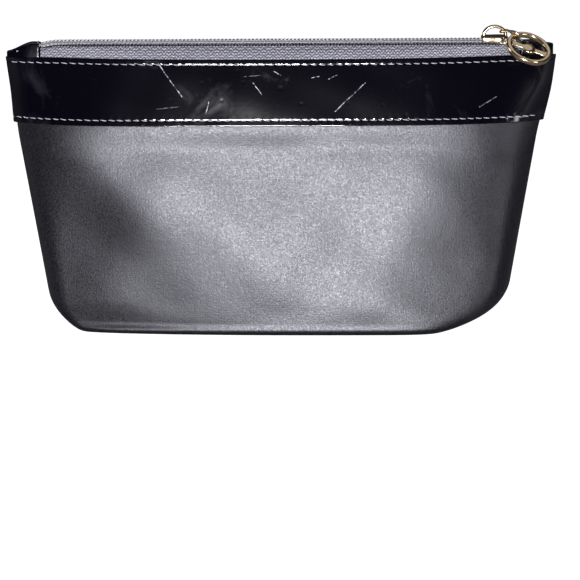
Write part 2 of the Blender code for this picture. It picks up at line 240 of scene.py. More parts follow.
# ---------------------------------------------------------------- materials
def satin_material():
    """Charcoal satin: fine weave, speckled sheen, a few pale rubbed places."""
    n = Nodes("charcoal_satin")
    speckle = n.noise(1350, detail=3, roughness=0.8)
    cloud = n.noise(30, detail=4, roughness=0.6, distortion=0.4)
    rub = n.noise(19, detail=5, roughness=0.62, distortion=0.8)
    warp = n.waves(480, "X", distortion=0.6)
    weft = n.waves(430, "Z", distortion=0.6)
    grain = n.ramp(speckle, (0.34, 0.0), (0.68, 1.0))
    base = n.mix(grain, (0.001, 0.001, 0.002), (0.012, 0.012, 0.015))
    pale = n.math("MULTIPLY", n.ramp(rub, (0.62, 0.0), (0.76, 1.0)), 0.4)
    base = n.mix(pale, base, (0.034, 0.034, 0.038))
    rough = n.math("ADD", n.math("MULTIPLY", cloud, 0.06), 0.345)
    rough = n.math("ADD", rough, n.math("MULTIPLY", n.math("SUBTRACT", speckle, 0.5), 0.5))
    weave = n.math("ADD", n.math("MULTIPLY", warp, 0.5), n.math("MULTIPLY", weft, 0.4))
    bump = n.bump(weave, 0.16, 0.00005)
    bump = n.bump(speckle, 0.4, 0.00018, bump)
    bump = n.bump(n.noise(120, detail=3), 0.16, 0.0005, bump)
    return n.finish(
        Base_Color=base, Roughness=rough, Normal=bump, Specular_IOR_Level=0.5,
        Specular_Tint=(0.93, 0.93, 1.0),
    )


# Scratches on the patent at the front, painted near-white as a painted highlight of their glint: (x,
# height, length, tilt in degrees, strength)
SCRATCH_HALF_WIDTH = 0.22 * MM
SCRATCHES_AND_GLINTS = (
    (-45.0, 103.5, 17.0, -54.0, 1.0),
    (-30.0, 92.5, 5.0, 72.0, 0.8),
    (-9.5, 100.0, 6.0, -55.0, 1.0),
    (-1.5, 106.0, 3.5, -30.0, 0.7),
    (-46.0, 92.5, 9.0, 6.0, 0.25),
    (-12.0, 105.0, 8.0, 4.0, 0.25),
    (14.0, 104.5, 3.0, 10.0, 0.8),
    (21.0, 104.5, 4.0, 25.0, 0.5),
    (28.0, 96.5, 17.0, 42.0, 0.8),
    (84.0, 94.0, 8.0, 30.0, 0.35),
)


def patent_material():
    """Black patent: deep gloss with faint orange peel, hazy smudges, dust and a few scratches painted
    near-white as painted highlights.
    """
    n = Nodes("black_patent")
    haze = n.ramp(n.noise(44, detail=5, roughness=0.65, distortion=0.7), (0.56, 0.0), (0.80, 1.0))
    dust = n.ramp(n.noise(2300, detail=2, roughness=0.8), (0.70, 0.0), (0.80, 1.0))
    broad = n.ramp(n.noise(13, detail=2), (0.42, 0.0), (0.62, 1.0))
    frayed = n.noise(900, detail=2)
    wander = n.math("MULTIPLY", n.math("SUBTRACT", n.noise(160, detail=2), 0.5), 1.1 * MM)
    place = n.add("ShaderNodeSeparateXYZ", {"Vector": n.place})
    wandering_x = n.math("ADD", place.outputs["X"], wander)
    scratch_and_glint = 0.0
    for x, height, length, tilt, strength in SCRATCHES_AND_GLINTS:
        cos, sin = math.cos(math.radians(tilt)), math.sin(math.radians(tilt))
        across_x = n.math("SUBTRACT", wandering_x, x * MM)
        across_z = n.math("SUBTRACT", place.outputs["Z"], height * MM)
        along = n.math("ADD", n.math("MULTIPLY", across_x, cos), n.math("MULTIPLY", across_z, sin))
        off = n.math("SUBTRACT", n.math("MULTIPLY", across_z, cos), n.math("MULTIPLY", across_x, sin))
        past = n.math("MAXIMUM", n.math("SUBTRACT", n.math("ABSOLUTE", along), length * MM / 2), 0.0)
        reach = n.math("ADD", n.math("ABSOLUTE", off), past)
        line = n.math("SUBTRACT", 1.0, n.math("DIVIDE", reach, SCRATCH_HALF_WIDTH), clamp=True)
        scratch_and_glint = n.math("MAXIMUM", scratch_and_glint, n.math("MULTIPLY", line, strength))
    scratch_and_glint = n.math("MULTIPLY", scratch_and_glint, n.ramp(frayed, (0.40, 0.05), (0.60, 1.0)))
    scratch_and_glint = n.math("MULTIPLY", scratch_and_glint, n.math("LESS_THAN", place.outputs["Y"], 0.0))
    colour = n.mix(n.math("MULTIPLY", haze, 0.5), (0.0012, 0.001, 0.003), (0.034, 0.034, 0.043))
    colour = n.mix(n.math("MULTIPLY", dust, n.math("MULTIPLY", broad, 0.4)), colour, (0.12, 0.12, 0.14))
    # Painted highlight: the scratches are painted near-white, standing for their glint as well as for
    # the scratch itself
    colour = n.mix(scratch_and_glint, colour, (0.75, 0.75, 0.85))
    rough = n.math("ADD", n.math("MULTIPLY", haze, 0.11), 0.09)
    rough = n.math("ADD", rough, n.math("MULTIPLY", scratch_and_glint, 0.3))
    peel = n.noise(520, detail=2)
    cells = {"Vector": n.place, "Scale": 150.0, "Randomness": 1.0}
    dimples = n.add("ShaderNodeTexVoronoi", cells).outputs["Distance"]
    pits = n.ramp(dimples, (0.0, 0.0), (0.16, 1.0))
    bump = n.bump(peel, 0.08, 0.00012)
    bump = n.bump(pits, 0.16, 0.0002, bump)
    return n.finish(
        Base_Color=colour, Roughness=rough, Normal=bump, Specular_IOR_Level=0.35,
        Coat_Weight=0.35, Coat_Roughness=0.06, Coat_IOR=1.45,
    )


def thread_material():
    """Dark grey twisted thread; its twist stripes are painted light grey as a painted sheen on the
    plies.
    """
    n = Nodes("grey_thread")
    twist_and_sheen = n.waves(900, "X", turn=(0, 0.7, 0))
    # Painted sheen: the colour runs from dark grey to light grey along the twist stripes; the same
    # stripes give the real twist bump
    colour = n.mix(twist_and_sheen, (0.18, 0.18, 0.21), (0.62, 0.62, 0.68))
    bump = n.bump(twist_and_sheen, 0.5, 0.00008)
    return n.finish(Base_Color=colour, Roughness=0.45, Normal=bump, Specular_IOR_Level=0.5)


def tape_material():
    """Woven zip tape: a herringbone of fine ribs, seen as rows of small grey flecks."""
    n = Nodes("woven_zip_tape")
    left = n.waves(340, "X", turn=(0, 0.75, 0))
    right = n.waves(340, "X", turn=(0, -0.75, 0))
    rows = n.waves(330, "Z", distortion=1.5)
    column = n.ramp(n.waves(330, "X"), (0.48, 0.0), (0.52, 1.0))
    rib = n.mix(column, left, right)
    weave = n.math("MULTIPLY", rib, n.math("ADD", n.math("MULTIPLY", rows, 0.7), 0.3))
    grain = n.noise(1500, detail=3, roughness=0.7)
    ribs = n.ramp(weave, (0.12, 0.0), (0.7, 1.0))
    fleck = n.math("MULTIPLY", ribs, n.ramp(grain, (0.3, 0.25), (0.65, 1.0)))
    colour = n.mix(fleck, (0.040, 0.039, 0.050), (0.56, 0.55, 0.65))
    bump = n.bump(weave, 0.8, 0.00016)
    bump = n.bump(grain, 0.4, 0.0001, bump)
    return n.finish(Base_Color=colour, Roughness=0.55, Normal=bump, Specular_IOR_Level=0.5)


def coil_material():
    """Moulded dark grey nylon."""
    n = Nodes("grey_nylon")
    grain = n.noise(900, detail=3)
    colour = n.mix(grain, (0.16, 0.16, 0.185), (0.34, 0.34, 0.39))
    rough = n.math("ADD", n.math("MULTIPLY", grain, 0.18), 0.24)
    bump = n.bump(grain, 0.15, 0.00005)
    return n.finish(Base_Color=colour, Roughness=rough, Normal=bump, Specular_IOR_Level=0.45)


def lining_material():
    """Plain-woven black lining with a little shine."""
    n = Nodes("black_lining")
    warp = n.waves(520, "X", distortion=0.8)
    weft = n.waves(520, "Z", distortion=0.8)
    weave = n.math("ADD", n.math("MULTIPLY", warp, 0.5), n.math("MULTIPLY", weft, 0.5))
    cloud = n.noise(60, detail=4)
    colour = n.mix(weave, (0.012, 0.012, 0.015), (0.034, 0.034, 0.040))
    colour = n.mix(n.math("MULTIPLY", cloud, 0.4), colour, (0.05, 0.05, 0.056))
    bump = n.bump(weave, 0.35, 0.00008)
    return n.finish(Base_Color=colour, Roughness=0.55, Normal=bump, Sheen_Weight=0.15)


def fleece_material():
    """Grey non-woven fleece."""
    n = Nodes("grey_fleece")
    fibre = n.noise(700, detail=5, roughness=0.75)
    colour = n.mix(fibre, (0.28, 0.28, 0.28), (0.55, 0.55, 0.54))
    return n.finish(Base_Color=colour, Roughness=0.95, Normal=n.bump(fibre, 0.6, 0.0003))


def gold_material():
    """Polished light-gold plate, a little worn and cloudy."""
    n = Nodes("light_gold")
    cloud = n.noise(260, detail=4, roughness=0.6)
    hair = n.noise(1200, detail=2, stretch=(1, 1, 6), turn=(0.4, 0.3, 0))
    colour = n.mix(cloud, (0.80, 0.56, 0.30), (0.93, 0.78, 0.58))
    rough = n.math("ADD", n.math("MULTIPLY", cloud, 0.16), 0.10)
    bump = n.bump(hair, 0.06, 0.00004)
    bump = n.bump(cloud, 0.10, 0.00015, bump)
    return n.finish(Base_Color=colour, Metallic=1.0, Roughness=rough, Normal=bump)


def floor_material():
    """Plain white studio floor."""
    n = Nodes("white_floor")
    cloud = n.noise(3, detail=2)
    seen = n.add("ShaderNodeLightPath").outputs["Is Camera Ray"]
    colour = n.mix(cloud, (0.88, 0.88, 0.88), (0.92, 0.92, 0.92))
    colour = n.mix(seen, (0.30, 0.30, 0.31), colour)
    return n.finish(
        Base_Color=colour, Roughness=0.9, Specular_IOR_Level=0.1,
        Emission_Color=(1.0, 1.0, 1.0), Emission_Strength=n.math("MULTIPLY", seen, 0.88),
    )


# ---------------------------------------------------------------- the bag's surface
def ease(value, low, high):
    """0 below low, 1 above high, smooth between."""
    t = np.clip((value - low) / (high - low), 0.0, 1.0)
    return t * t * (3 - 2 * t)


def soft_least(a, b, width):
    """The smaller of two values, rounded where they meet."""
    near = np.clip(0.5 + 0.5 * (b - a) / width, 0.0, 1.0)
    return b * (1 - near) + a * near - width * near * (1 - near)


def half_width(z, hand):
    """Half the body's width at a height; hand runs from -1 at the left to 1 at the right."""
    corner = np.maximum(0.0, 1.0 - z / CORNER_HEIGHT)
    cut_left = LEFT_CORNER_CUT * corner**LEFT_CORNER_POWER
    cut_right = RIGHT_CORNER_CUT * corner**RIGHT_CORNER_POWER
    return SIDE_HALF_WIDTH + SIDE_FLARE * z - cut_left * (1 - hand) / 2 - cut_right * (1 + hand) / 2


def lean(z):
    """How far the soft body leans to the left below the band."""
    return -1.4 * MM * ease(z, 2 * MM, 14 * MM) * (1 - ease(z, 78 * MM, 102 * MM))


def half_depth(z):
    """Half the body's depth at a height."""
    low = 1 - np.clip(z / BELLY_HEIGHT, 0.0, 1.0)
    rise = np.clip((z - BELLY_HEIGHT) / (BAND_TOP - BELLY_HEIGHT), 0.0, 1.0)
    upper = MOUTH_HALF_DEPTH + (BELLY_HALF_DEPTH - MOUTH_HALF_DEPTH) * (1 - rise**DEPTH_POWER)
    return upper - (BELLY_HALF_DEPTH - BASE_HALF_DEPTH) * low**BELLY_POWER


def lens(u, z):
    """How full the section is at u: 1 in the middle, 0 at the side seams."""
    rise = z / BAND_TOP
    power = 10.0 - 6.0 * rise
    root = 2.0 - rise
    return np.maximum(0.0, 1.0 - np.abs(u) ** power) ** (1.0 / root)


def slack(x, z, side):
    """How the soft cloth departs from the plain section: soft folds and small ripples."""
    waves = 0.30 * np.sin(x / (17 * MM) + z / (11 * MM) + side)
    waves += 0.20 * np.sin(x / (9 * MM) - z / (14 * MM) + 2.1 * side)
    waves += 0.10 * np.sin(x / (5.5 * MM) + z / (23 * MM) + 0.7) * np.sin(z / (8 * MM) + side)
    return waves * MM * ease(z, 2 * MM, 14 * MM) * (1 - 0.8 * ease(z, 62 * MM, BAND_BOTTOM))


def bend(distance, width):
    """A corner rounded over a width: 0 on one side, growing with distance on the other."""
    t = distance / width
    return width * np.where(t > 30, t, np.log1p(np.exp(np.minimum(t, 30))))


def dents(x, z, side):
    """How far the cloth falls back where it creases: a wide facet at the left, one at the right."""
    low = np.maximum(0.0, 60 * MM - z) / (47 * MM)
    left_crease = -45 * MM - 30 * MM * ease(z, 30 * MM, 85 * MM)
    right_crease = 41.5 * MM + 0.17 * MM * (np.abs(z - 31 * MM) / MM) ** 1.3
    if side == BACK:
        left_crease, right_crease = left_crease - 12 * MM, right_crease + 14 * MM
    left = LEFT_FACET_SLOPE * bend(left_crease - x, (4.6 + 22 * low**1.5) * MM)
    right = RIGHT_FACET_SLOPE * bend(x - right_crease, 4 * MM)
    fade = 1 - ease(z, 66 * MM, BAND_BOTTOM + 1 * MM)
    return (left + right) * fade


def fullness(u, z, side):
    """The body's depth at u and z, between its creases."""
    x = u * half_width(z, np.tanh(4 * u))
    deep = half_depth(z)
    full = deep * lens(u, z)
    blend = (0.8 + 0.2 * ease(z, 0.0, 5 * MM)) * (1 - ease(z, 74 * MM, BAND_BOTTOM))
    dented = soft_least(full, deep - dents(x, z, side), 4 * MM)
    return full + (dented - full) * blend


def skin(u, z, inset, side):
    """Points of the cloth at u and z, moved in by inset."""
    u, z = np.broadcast_arrays(np.asarray(u, float), np.asarray(z, float))
    x = u * (half_width(z, np.tanh(4 * u)) - inset)
    taper = lens(u, z)
    depth = fullness(u, z, side) + (slack(x, z, side) - inset - SEAM_GAP / 2) * taper
    y = SEAM_GAP / 2 + np.maximum(depth, 0.0)
    lift = inset * np.maximum(0.0, 1.0 - z / CORNER_HEIGHT)
    sag = MOUTH_SAG * (1 - np.minimum(np.abs(x) / (90 * MM), 1.0) ** 2) * ease(z, 70 * MM, BAND_TOP)
    return np.stack([x + lean(z), side * y, z + lift - sag], axis=-1)


def across(count, low=-1.0, high=1.0):
    """Places u across the bag between two limits, closer together towards the side seams."""
    start = math.asin(low)
    turns = np.linspace(start, math.asin(high), count + 1)
    return np.sin(turns)


# ---------------------------------------------------------------- mesh helpers
SHARP_ANGLE = math.radians(50)
MERGE = 0.01 * MM
FINE_MERGE = 0.001 * MM


def new_piece(name, vertices, faces, material):
    """A mesh object with smooth shading."""
    mesh = bpy.data.meshes.new(name)
    mesh.from_pydata([tuple(v) for v in np.asarray(vertices).reshape(-1, 3)], [], faces)
    mesh.validate()
    mesh.shade_smooth()
    mesh.set_sharp_from_angle(angle=SHARP_ANGLE)
    mesh.materials.append(material)
    piece = bpy.data.objects.new(name, mesh)
    bpy.context.collection.objects.link(piece)
    return piece


def join_grids(outer, inner):
    """Vertices and faces of a shell between two grids of points."""
    rows, width = outer.shape[:2]
    vertices = np.concatenate([outer.reshape(-1, 3), inner.reshape(-1, 3)])
    offset = rows * width
    faces = []
    for r in range(rows - 1):
        for c in range(width - 1):
            a = r * width + c
            faces.append((a, a + 1, a + width + 1, a + width))
            faces.append((a + offset, a + width + offset, a + width + 1 + offset, a + 1 + offset))
    border = list(range(width))
    border += [r * width + width - 1 for r in range(1, rows)]
    border += [(rows - 1) * width + c for c in range(width - 2, -1, -1)]
    border += [r * width for r in range(rows - 2, 0, -1)]
    for here, there in zip(border, border[1:] + border[:1]):
        faces.append((here, here + offset, there + offset, there))
    return vertices, faces


def tidy(piece, merge=MERGE):
    """Merge coincident points and turn the faces outwards."""
    shape = bmesh.new()
    shape.from_mesh(piece.data)
    bmesh.ops.remove_doubles(shape, verts=shape.verts, dist=merge)
    bmesh.ops.recalc_face_normals(shape, faces=shape.faces)
    shape.to_mesh(piece.data)
    shape.free()
    piece.data.set_sharp_from_angle(angle=SHARP_ANGLE)
    return piece


def loops_mesh(rings, ends=True):
    """Vertices and faces through a row of rings, each with the same number of points."""
    count, size = rings.shape[:2]
    faces = []
    for i in range(count - 1):
        for s in range(size):
            t = (s + 1) % size
            faces.append((i * size + s, i * size + t, (i + 1) * size + t, (i + 1) * size + s))
    if ends:
        faces.append(tuple(range(size)))
        faces.append(tuple(range((count - 1) * size, count * size)))
    return rings.reshape(-1, 3), faces


def tube_rings(path, across_size, up_size, sides, upward=(0, 0, 1), closed=False, squareness=2.0):
    """Rings round a path; the sizes may be one number or one for each point."""
    path = np.asarray(path, float)
    if closed:
        along = np.roll(path, -1, axis=0) - np.roll(path, 1, axis=0)
    else:
        along = np.gradient(path, axis=0)
    along /= np.linalg.norm(along, axis=1)[:, None]
    upward = np.broadcast_to(np.asarray(upward, float), path.shape)
    upward = upward - along * np.sum(upward * along, axis=1)[:, None]
    upward /= np.linalg.norm(upward, axis=1)[:, None]
    sideways = np.cross(along, upward)
    turns = 2 * math.pi * (np.arange(sides) + 0.5) / sides
    cos = np.sign(np.cos(turns)) * np.abs(np.cos(turns)) ** (2 / squareness)
    sin = np.sign(np.sin(turns)) * np.abs(np.sin(turns)) ** (2 / squareness)
    a = np.broadcast_to(np.asarray(across_size, float).reshape(-1, 1, 1), (len(path), 1, 1))
    b = np.broadcast_to(np.asarray(up_size, float).reshape(-1, 1, 1), (len(path), 1, 1))
    ring = sideways[:, None] * cos[None, :, None] * a + upward[:, None] * sin[None, :, None] * b
    rings = path[:, None] + ring
    if closed:
        rings = np.concatenate([rings, rings[:1]])
    return rings


def many(meshes):
    """Several (vertices, faces) as one."""
    vertices, faces, start = [], [], 0
    for points, polygons in meshes:
        vertices.append(points)
        faces += [tuple(i + start for i in polygon) for polygon in polygons]
        start += len(points)
    return np.concatenate(vertices), faces


# ---------------------------------------------------------------- where pieces belong
def halves(side):
    """The stretches of one side of the mouth: whole in front, two behind."""
    if side == FRONT:
        return [(-1.0, 1.0, "")]
    return [(-1.0, 0.0, "_left"), (0.0, 1.0, "_right")]


def claim(node):
    """Hide the frame's node that a piece stands for."""
    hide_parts(node)


def fix(piece, body, node):
    """A piece that moves with one body."""
    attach(piece, body)
    claim(node)


def open_with_flap(piece):
    """Bake the transform of a piece of the back of the mouth into its points."""
    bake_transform(piece)


def open_below_flap(piece):
    """Bake the transform of a piece of cloth under the flap into its points."""
    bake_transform(piece)


def join_mouth(piece, side, node):
    """A piece of the mouth: fixed to the root in front, its transform baked into its points behind."""
    if side == FRONT:
        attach(piece, "root")
    else:
        open_with_flap(piece)
    claim(node)


# ---------------------------------------------------------------- cloth pieces
def panel_heights(top, fine=1.0):
    """Heights down a panel, close together round the lower edge."""
    upper = np.linspace(top, 20 * MM, int(70 * fine))
    lower = 20 * MM * (1 - np.sin(np.linspace(0, math.pi / 2, int(46 * fine)))[1:])
    return np.concatenate([upper, lower])


def panel_shell(side, inset, thickness, heights, columns, to_base=True):
    """Vertices and faces of one cloth shell on one side of the bag."""
    grids = []
    for depth in (inset, inset + thickness):
        grid = skin(columns[None, :], heights[:, None], depth, side)
        if to_base:
            steps = np.linspace(1, 0, 14)[1:, None, None]
            edge = grid[-1].copy()
            middle = edge.copy()
            middle[:, 1] = side * SEAM_GAP / 2
            grid = np.concatenate([grid, middle[None] + (edge - middle)[None] * steps])
        grids.append(grid)
    return join_grids(*grids)


def make_body_cloth(side, label, satin, lining, fleece):
    """Satin panel, interlining and lining on one side."""
    top = PANEL_TOP if side == FRONT else BAND_BOTTOM + 0.8 * MM
    shell = panel_shell(side, 0.0, SATIN_THICKNESS, panel_heights(top), across(170))
    panel = tidy(new_piece(label + "_satin", *shell, satin))
    fix(panel, "root", label + "_panel")
    heights = panel_heights(82 * MM, 0.4)
    shell = panel_shell(side, 0.9 * MM, 1.0 * MM, heights, across(60))
    inner = tidy(new_piece(label + "_fleece", *shell, fleece))
    fix(inner, "root", label + "_interlining")
    heights = panel_heights(LINING_TOP, 0.7)
    for low, high, end in halves(side):
        shell = panel_shell(side, LINING_INSET, LINING_THICKNESS, heights, across(90, low, high))
        cloth = tidy(new_piece(label + "_lining_cloth" + end, *shell, lining))
        if side == FRONT:
            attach(cloth, "root")
        else:
            open_below_flap(cloth)
        claim(label + "_lining")
    if side == BACK:
        heights = np.linspace(PANEL_TOP, BAND_BOTTOM + 0.6 * MM, 12)
        for low, high, end in halves(side):
            columns = across(70, low, high)
            shell = panel_shell(side, 0.0, SATIN_THICKNESS, heights, columns, to_base=False)
            turned = tidy(new_piece("back_satin_turning" + end, *shell, satin))
            open_below_flap(turned)
            claim("back_panel")


def band_profile():
    """The band's cross-section as (inset, height): padded between its two grooves, edges rolled."""
    height = BAND_TOP - BAND_BOTTOM
    top_roll, low = 0.6 * MM, 0.35 * MM
    high = height - top_roll
    near = np.array([0.04, 0.1, 0.2]) * MM
    beside = np.array([-0.6, -0.38, -0.24, -0.15, -0.07, 0.0, 0.07, 0.15, 0.24, 0.38, 0.6]) * MM
    rows = [row - BAND_BOTTOM + beside for row in STITCH_ROWS.values()]
    outer_z = np.sort(np.concatenate([np.linspace(low, high, 40), low + near, high - near, *rows]))
    place = BAND_BOTTOM + outer_z
    groove = np.zeros_like(place)
    for row in STITCH_ROWS.values():
        groove += 0.11 * MM * np.exp(-(((place - row) / (0.2 * MM)) ** 2))
    between = (place - STITCH_ROWS["lower"]) / (STITCH_ROWS["upper"] - STITCH_ROWS["lower"])
    belly = 0.10 * MM * np.sin(np.clip(between, 0, 1) * math.pi)
    outer = np.stack([BAND_INSET + groove - belly, place], axis=1)
    turns = np.linspace(0, math.pi, 9)[1:-1]
    middle = BAND_INSET + BAND_THICKNESS / 2
    radius = BAND_THICKNESS / 2
    top = [(middle - radius * math.cos(t), BAND_TOP - top_roll + top_roll * math.sin(t)) for t in turns]
    inner_z = np.linspace(BAND_TOP - top_roll, BAND_BOTTOM + low, 16)
    inner = np.stack([np.full(16, BAND_INSET + BAND_THICKNESS), inner_z], axis=1)
    bottom = [(middle + radius * math.cos(t), BAND_BOTTOM + low - low * math.sin(t)) for t in turns]
    profile = np.concatenate([outer, np.array(top), inner, np.array(bottom)])
    profile[:, 0] += band_lean(profile[:, 1])
    return profile


def band_lean(z):
    """The band's folded lower edge stands off the satin a little more than its top does."""
    return (-0.45 + 0.75 * (z - BAND_BOTTOM) / (BAND_TOP - BAND_BOTTOM)) * MM


def band_ripple(x, z, side):
    """Shallow unevenness of the patent, pulled a little at every stitch."""
    ripple = 0.06 * np.sin(x / (8.5 * MM) + z / (6 * MM) + side) * np.sin(z / (7 * MM) + 1.3)
    ripple += 0.05 * np.sin(x / (4.2 * MM) - z / (9 * MM) + 2 * side)
    ripple += 0.12 * np.sin(x / (21 * MM) + 0.8 * side)
    for row in STITCH_ROWS.values():
        pull = np.exp(-(((z - row) / (1.1 * MM)) ** 2))
        ripple += 0.07 * np.cos(2 * math.pi * x / STITCH_PITCH) * pull
    return ripple * MM


def make_bands(side, label, patent):
    """The patent band on one side of the mouth."""
    profile = band_profile()
    for low, high, end in halves(side):
        columns = across(260 if side == FRONT else 130, low, high)
        rings = []
        for u in columns:
            ring = skin(u, profile[:, 1], profile[:, 0], side)
            outward = band_ripple(ring[:, 0], ring[:, 2], side) * lens(u, profile[:, 1])
            ring[:, 1] += side * outward
            rings.append(ring)
        vertices, faces = loops_mesh(np.array(rings))
        band = tidy(new_piece(label + "_patent_band" + end, vertices, faces, patent))
        join_mouth(band, side, label + "_band")


def make_facing(side, label, lining):
    """The strip that faces the inside of the band."""
    heights = np.linspace(facing_high[2], facing_low[2], 16)
    for low, high, end in halves(side):
        columns = across(90, low, high)
        shell = panel_shell(side, FACING_INSET, FACING_THICKNESS, heights, columns, to_base=False)
        strip = tidy(new_piece(label + "_facing_strip" + end, *shell, lining))
        join_mouth(strip, side, label + "_facing")


def stitch_shape(start, finish, outward):
    """One stitch: a short thread that rises from one hole and dips into the next."""
    steps = np.linspace(0, 1, 7)[:, None]
    lift = np.sin(steps * math.pi) ** 0.6
    path = start + (finish - start) * steps + outward * (lift - 0.55) * THREAD * 1.3
    sizes = THREAD * (0.55 + 0.5 * np.sin(steps[:, 0] * math.pi))
    return loops_mesh(tube_rings(path, sizes, sizes, 8, outward))


def make_band_stitches(side, label, thread):
    """The upper and lower rows of top-stitching on one band."""
    for row, height in STITCH_ROWS.items():
        fine = across(2400)
        line = skin(fine, height, BAND_INSET + float(band_lean(height)) + 0.1 * MM, side)
        line[:, 1] += side * band_ripple(line[:, 0], line[:, 2], side) * lens(fine, height)
        reach = np.concatenate([[0], np.cumsum(np.linalg.norm(np.diff(line, axis=0), axis=1))])
        pitch = STITCH_PITCH if row == "upper" else STITCH_PITCH * 0.95
        count = int((reach[-1] - 4 * MM) / pitch)
        for low, _, end in halves(side):
            stitches = []
            for i in range(count):
                first = 2 * MM + i * pitch
                ends = []
                for s in (first, first + STITCH_LENGTH):
                    ends.append(np.array([np.interp(s, reach, line[:, k]) for k in range(3)]))
                middle_x = (ends[0][0] + ends[1][0]) / 2
                if side == BACK and (middle_x < 0) != (low < 0):
                    continue
                slant = 0.16 * MM * (1 + 0.35 * math.sin(i * 2.4))
                ends[0][2] += slant
                ends[1][2] -= slant
                along = ends[1] - ends[0]
                outward = np.cross(along, (0, 0, 1)) * (1 if side == FRONT else -1)
                outward /= np.linalg.norm(outward)
                stitches.append(stitch_shape(ends[0], ends[1], outward))
            stitched = new_piece(f"{label}_{row}_topstitches{end}", *many(stitches), thread)
            tidy(stitched, FINE_MERGE)
            join_mouth(stitched, side, f"{label}_band_{row}_stitching")


# ---------------------------------------------------------------- zip
def spread(x):
    """How far each half of the chain stands off the middle at a place along the zip."""
    rear = SLIDER_X - SLIDER_LENGTH / 2
    front = SLIDER_X + SLIDER_LENGTH / 2 - 3 * MM
    inside = COIL_SPREAD * ease(x, rear + 1 * MM, front)
    outside = 1 - (1 - 0.25) * ease(x, front + 2 * MM, tab_low[0])
    return inside * outside


def chain_drop(x):
    """How much lower the chain lies towards its two ends."""
    return 1.3 * MM * ease(np.abs(x), 88 * MM, COIL_END + 2 * MM) ** 2


def wall_depth(u, z):
    """How far the mouth's wall stands from the middle, with room left for the zip."""
    return max(0.75 * MM, float(GAP / 2 + (half_depth(z) - GAP / 2) * lens(u, z)))


def make_tape(side, label, material):
    """The woven tape: out of the band's fold, up, and over to the coil."""
    for low, high, end in halves(side):
        count = int(150 * (high - low))
        stations = np.linspace(low * TAPE_END, high * TAPE_END, count + 1)
        rings = []
        for x in stations:
            u = min(0.985, max(-0.985, x / half_width(BAND_TOP, 0.0)))
            rim = wall_depth(u, BAND_TOP)
            root = wall_depth(u, TAPE_BOTTOM)
            opened = float(spread(x)) if abs(x) < tab_low[0] else 0.0
            shoulder = min(TAPE_SHOULDER_Y, max(2.7 * MM, rim - 0.5 * MM)) + opened
            drop = float(chain_drop(x)) - 2.4 * MM * float(ease(x, tab_high[0] + 0.3 * MM, TAPE_END))
            ripple = 0.10 * MM * math.sin(x / (6.3 * MM) + side)
            control = [
                (root, TAPE_BOTTOM),
                (rim, BAND_TOP - 0.4 * MM - min(drop, 0.0) / 2),
                (rim * 0.45 + shoulder * 0.55 + 0.12 * MM + ripple, (BAND_TOP + TAPE_Z) / 2),
                (shoulder, TAPE_Z - 0.8 * MM - drop),
                (shoulder - 0.45 * MM, TAPE_Z - 0.1 * MM - drop),
                ((shoulder + 0.7 * MM) / 2, TAPE_Z + ripple / 2 - drop),
                (0.7 * MM + min(opened, 1.2 * MM), TAPE_Z - drop),
            ]
            line = smooth_line(np.array(control), 22)
            along = np.gradient(line, axis=0)
            along /= np.linalg.norm(along, axis=1)[:, None]
            inward = np.stack([-along[:, 1], along[:, 0]], axis=1)
            under = line + inward * TAPE_THICKNESS
            loop = np.concatenate([line, under[::-1]])
            rings.append(np.stack([np.full(len(loop), x), side * loop[:, 0], loop[:, 1]], axis=1))
        vertices, faces = loops_mesh(np.array(rings))
        tape = tidy(new_piece(label + "_woven_tape" + end, vertices, faces, material))
        join_mouth(tape, side, label + "_zip_tape")


def smooth_line(points, count):
    """A smooth line through points, as count points (Catmull-Rom)."""
    padded = np.concatenate([[2 * points[0] - points[1]], points, [2 * points[-1] - points[-2]]])
    line = []
    for t in np.linspace(0, len(points) - 1, count):
        i = min(int(t), len(points) - 2)
        f = t - i
        a, b, c, d = padded[i : i + 4]
        square = (2 * a - 5 * b + 4 * c - d) * f**2
        cube = (3 * b - a - 3 * c + d) * f**3
        line.append(0.5 * (2 * b + (c - a) * f + square + cube))
    return np.array(line)


def make_coil(side, label, nylon, thread):
    """The coil: one nylon wire wound round its cord, sewn to the tape by a row of thread."""
    for low, high, end in halves(side):
        start, stop = low * COIL_END, high * COIL_END
        turns = int(round((stop - start) / TOOTH_PITCH))
        angle = np.linspace(0, 2 * math.pi * turns, turns * 16 + 1)
        x = start + (stop - start) * angle / angle[-1]
        if side == BACK:
            x = x + TOOTH_PITCH / 2
        flat = np.sign(np.cos(angle)) * np.abs(np.cos(angle)) ** 0.8
        y = COIL_CENTRE_Y + spread(x) + COIL_HALF_WIDTH * flat
        z = COIL_Z + COIL_HALF_HEIGHT * np.sin(angle) - chain_drop(x)
        path = np.stack([x, side * y, z], axis=1)
        centre = np.stack([x, side * (COIL_CENTRE_Y + spread(x)), COIL_Z - chain_drop(x)], axis=1)
        outward = path - centre
        outward[:, 0] = 0.2 * MM
        wound = loops_mesh(tube_rings(path, COIL_WIRE, COIL_WIRE, 7, outward))
        core = centre[::16]
        cord = loops_mesh(tube_rings(core, COIL_HALF_WIDTH * 0.62, COIL_HALF_HEIGHT * 0.6, 8))
        coil = tidy(new_piece(label + "_coil" + end, *many([wound, cord]), nylon), FINE_MERGE)
        sx = np.linspace(start, stop, turns * 8 + 1)
        wave = np.cos(2 * math.pi * (sx - start) / TOOTH_PITCH)
        seam_y = COIL_CENTRE_Y + spread(sx) + 0.95 * MM + 0.10 * MM * wave
        seam_z = COIL_Z + COIL_HALF_HEIGHT + 0.16 * MM + 0.13 * MM * wave - chain_drop(sx)
        seam = np.stack([sx, side * seam_y, seam_z], axis=1)
        laid = loops_mesh(tube_rings(seam, 0.17 * MM, 0.13 * MM, 7))
        sewn = tidy(new_piece(label + "_coil_sewing" + end, *laid, thread), FINE_MERGE)
        join_mouth(coil, side, label + "_zip_coil")
        join_mouth(sewn, side, label + "_zip_coil")


